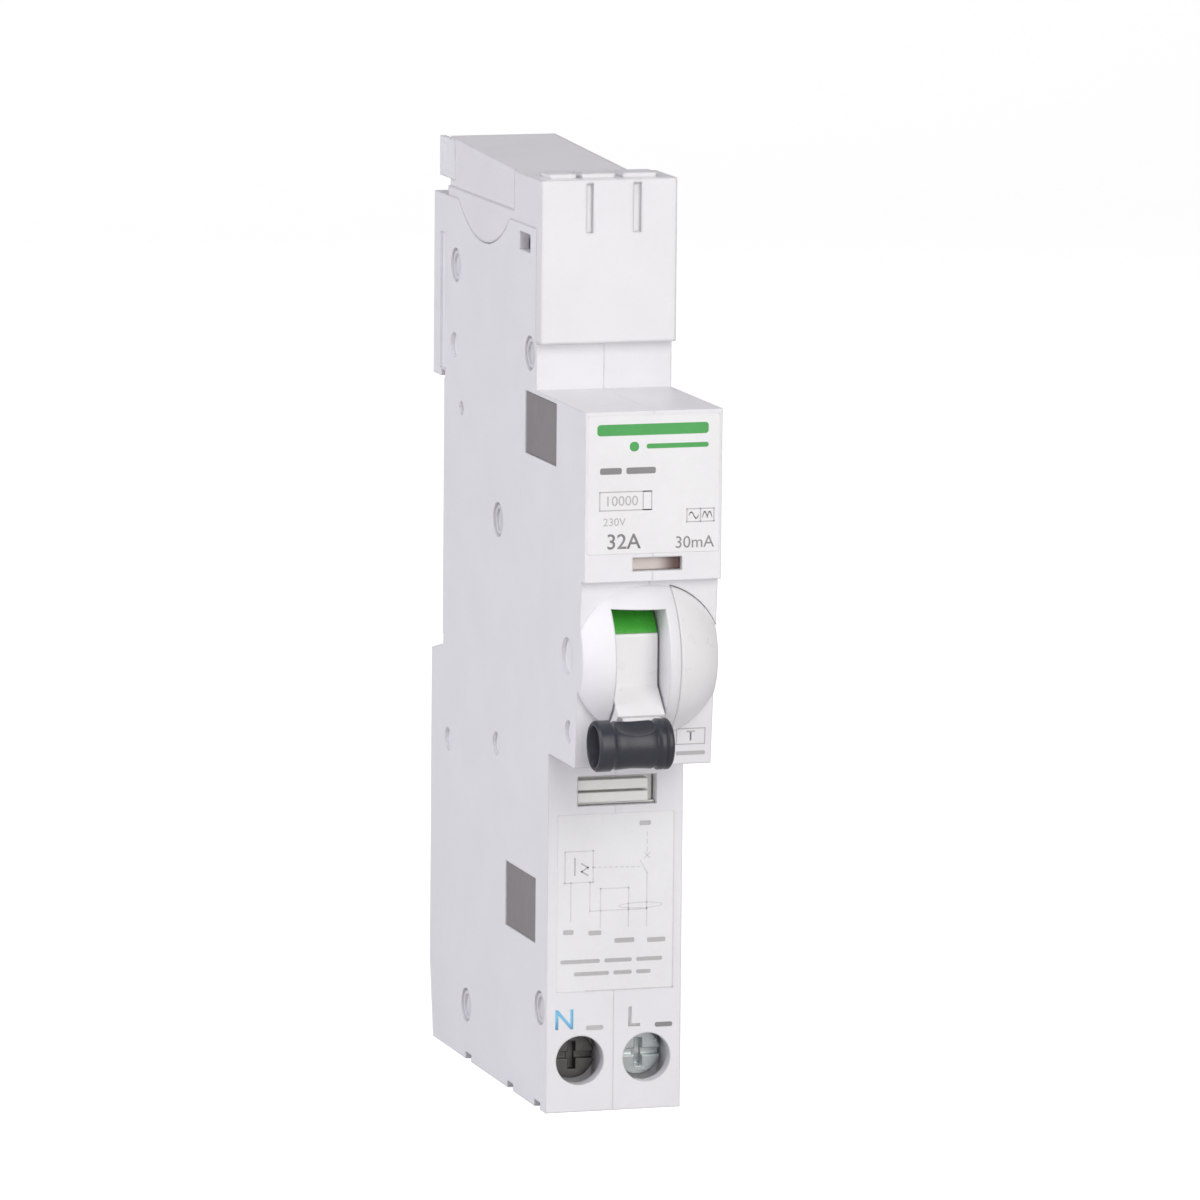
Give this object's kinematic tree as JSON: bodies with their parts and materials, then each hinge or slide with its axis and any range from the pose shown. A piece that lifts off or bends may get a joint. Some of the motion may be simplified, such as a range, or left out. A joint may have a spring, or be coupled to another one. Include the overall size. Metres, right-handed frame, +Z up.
{
  "type": "residual current device",
  "caption": "Single-module plug-on residual current device with toggle, test button, clamp terminals and a rail seat.",
  "frame": {"origin": "centre of the rail seat, on the plane of the rail's front face", "axes": "+X to the device's right, the front faces -Y, +Z up"},
  "size_m": [0.0176, 0.075, 0.119],
  "materials": {
    "white_casing": "fine-textured white thermoset moulding",
    "cap_plastic": "white moulding",
    "shield_plastic": "translucent natural plastic",
    "lever_plastic": "smooth white moulding",
    "grip_plastic": "dark grey satin moulding",
    "green_strip": "green moulding",
    "window_grey": "grey moulding",
    "label_print": "printed label film",
    "marker_brown": "brown marker",
    "louvre_plastic": "white moulding",
    "inner_plastic": "natural nylon",
    "relay_case": "dark moulded relay case",
    "board_green": "glass-fibre board with green solder mask",
    "fibre": "vulcanised fibre",
    "zinc_steel": "zinc-plated steel",
    "dark_steel": "dark passivated steel",
    "plated_cage": "zinc-plated steel",
    "steel_plate": "plain steel",
    "bimetal": "rolled bimetal",
    "spring_steel": "spring wire",
    "copper": "bare copper",
    "braid": "woven copper braid",
    "winding": "enamelled copper wire",
    "silver": "silver contact",
    "core": "epoxy-coated core",
    "latch_plastic": "white nylon"
  },
  "bodies": {
    "casing": {"left_casing": "white_casing", "right_casing": "white_casing", "casing_rivets": "zinc_steel", "top_cap": "cap_plastic", "busbar_shield": "shield_plastic", "upper_window_plug": "window_grey", "lower_window_plug": "window_grey", "rating_label": "label_print", "wiring_label": "label_print", "marker_strip": "marker_brown", "vent_louvre": "louvre_plastic", "toggle_axle": "zinc_steel", "toggle_spring": "spring_steel", "test_spring": "spring_steel", "test_contact_strip": "spring_steel", "line_conductor": "copper", "neutral_conductor": "copper", "lead_grommet": "inner_plastic", "contact_arm_pin": "zinc_steel", "fixed_contact": "copper", "arc_chute_plates": "steel_plate", "arc_chute_cheeks": "fibre", "line_in_strip": "copper", "busbar_jaw": "copper", "jaw_clip": "zinc_steel", "contact_braid": "braid", "coil_bobbin": "inner_plastic", "trip_coil": "winding", "solenoid_yoke": "steel_plate", "plunger_spring": "spring_steel", "trip_lever_pin": "zinc_steel", "bimetal_strip": "bimetal", "bimetal_bracket": "steel_plate", "calibration_screw": "zinc_steel", "toroid_core": "core", "toroid_winding": "winding", "circuit_board": "board_green", "board_components": "relay_case", "trip_relay": "relay_case", "latch_spring": "spring_steel"},
    "toggle": {"toggle_lever": "lever_plastic", "indicator_strip": "green_strip", "toggle_grip": "grip_plastic"},
    "toggle_link": {"toggle_link": "zinc_steel"},
    "contact_arm": {"contact_arm": "copper", "moving_contact_tip": "silver"},
    "test_button": {"test_button": "lever_plastic"},
    "solenoid_plunger": {"solenoid_plunger": "steel_plate"},
    "trip_lever": {"trip_lever": "inner_plastic"},
    "relay_pin": {"relay_pin": "zinc_steel"},
    "terminal_screw_n": {"terminal_screw_n": "dark_steel"},
    "terminal_screw_l": {"terminal_screw_l": "zinc_steel"},
    "terminal_cage_n": {"terminal_cage_n": "plated_cage"},
    "terminal_cage_l": {"terminal_cage_l": "plated_cage"},
    "rail_latch": {"rail_latch": "latch_plastic"}
  },
  "joints": [
    {"name": "toggle_hinge", "type": "hinge", "parent": "casing", "child": "toggle", "pos_m": [0, -0.055, -0.011], "axis": [-1, 0, 0], "range_deg": [0, 66], "deforming": ["toggle_spring"]},
    {"name": "toggle_link_hinge", "type": "hinge", "parent": "toggle", "child": "toggle_link", "pos_m": [0, -0.05079, -0.00747], "axis": [-1, 0, 0], "range_deg": [-107.6, 0.5]},
    {"name": "contact_arm_hinge", "type": "hinge", "parent": "casing", "child": "contact_arm", "pos_m": [0, -0.038, -0.001], "axis": [-1, 0, 0], "range_deg": [-0.2, 16.01], "deforming": ["contact_braid"]},
    {"name": "test_button_slide", "type": "slide", "parent": "casing", "child": "test_button", "axis": [0, 1, 0], "range_m": [0, 0.0018], "stiffness_N_per_m": 600, "springref_m": -0.001, "deforming": ["test_spring"]},
    {"name": "solenoid_slide", "type": "slide", "parent": "casing", "child": "solenoid_plunger", "axis": [0, -1, 0], "range_m": [0, 0.0022], "stiffness_N_per_m": 200, "springref_m": -0.001, "deforming": ["plunger_spring"]},
    {"name": "trip_lever_hinge", "type": "hinge", "parent": "casing", "child": "trip_lever", "pos_m": [0, -0.032, -0.0365], "axis": [1, 0, 0], "range_deg": [-0.1, 5.96]},
    {"name": "relay_pin_slide", "type": "slide", "parent": "casing", "child": "relay_pin", "axis": [0, -1, 0], "range_m": [0, 0.0013], "stiffness_N_per_m": 150, "springref_m": -0.001},
    {"name": "terminal_screw_n_turn", "type": "hinge", "parent": "casing", "child": "terminal_screw_n", "pos_m": [-0.0044, -0.0444, -0.064], "axis": [0, 1, 0], "range_deg": [0, 1980.5]},
    {"name": "terminal_cage_n_slide", "type": "slide", "parent": "casing", "child": "terminal_cage_n", "axis": [0, -1, 0], "range_m": [0, 0.0044]},
    {"name": "terminal_screw_l_turn", "type": "hinge", "parent": "casing", "child": "terminal_screw_l", "pos_m": [0.0044, -0.0444, -0.064], "axis": [0, 1, 0], "range_deg": [0, 1980.5]},
    {"name": "terminal_cage_l_slide", "type": "slide", "parent": "casing", "child": "terminal_cage_l", "axis": [0, -1, 0], "range_m": [0, 0.0044]},
    {"name": "rail_latch_slide", "type": "slide", "parent": "casing", "child": "rail_latch", "axis": [0, 0, -1], "range_m": [0, 0.003], "stiffness_N_per_m": 900, "springref_m": -0.002, "deforming": ["latch_spring"]}
  ],
  "couplings": [
    {"joint": "toggle_link_hinge", "follows": "toggle_hinge", "ratio": -1.6227},
    {"joint": "contact_arm_hinge", "follows": "toggle_hinge", "ratio": 0.24242},
    {"joint": "trip_lever_hinge", "follows": "solenoid_slide", "rad_per_m": 46.512},
    {"joint": "terminal_screw_n_turn", "follows": "terminal_cage_n_slide", "rad_per_m": 7854},
    {"joint": "terminal_screw_l_turn", "follows": "terminal_cage_l_slide", "rad_per_m": 7854}
  ]
}
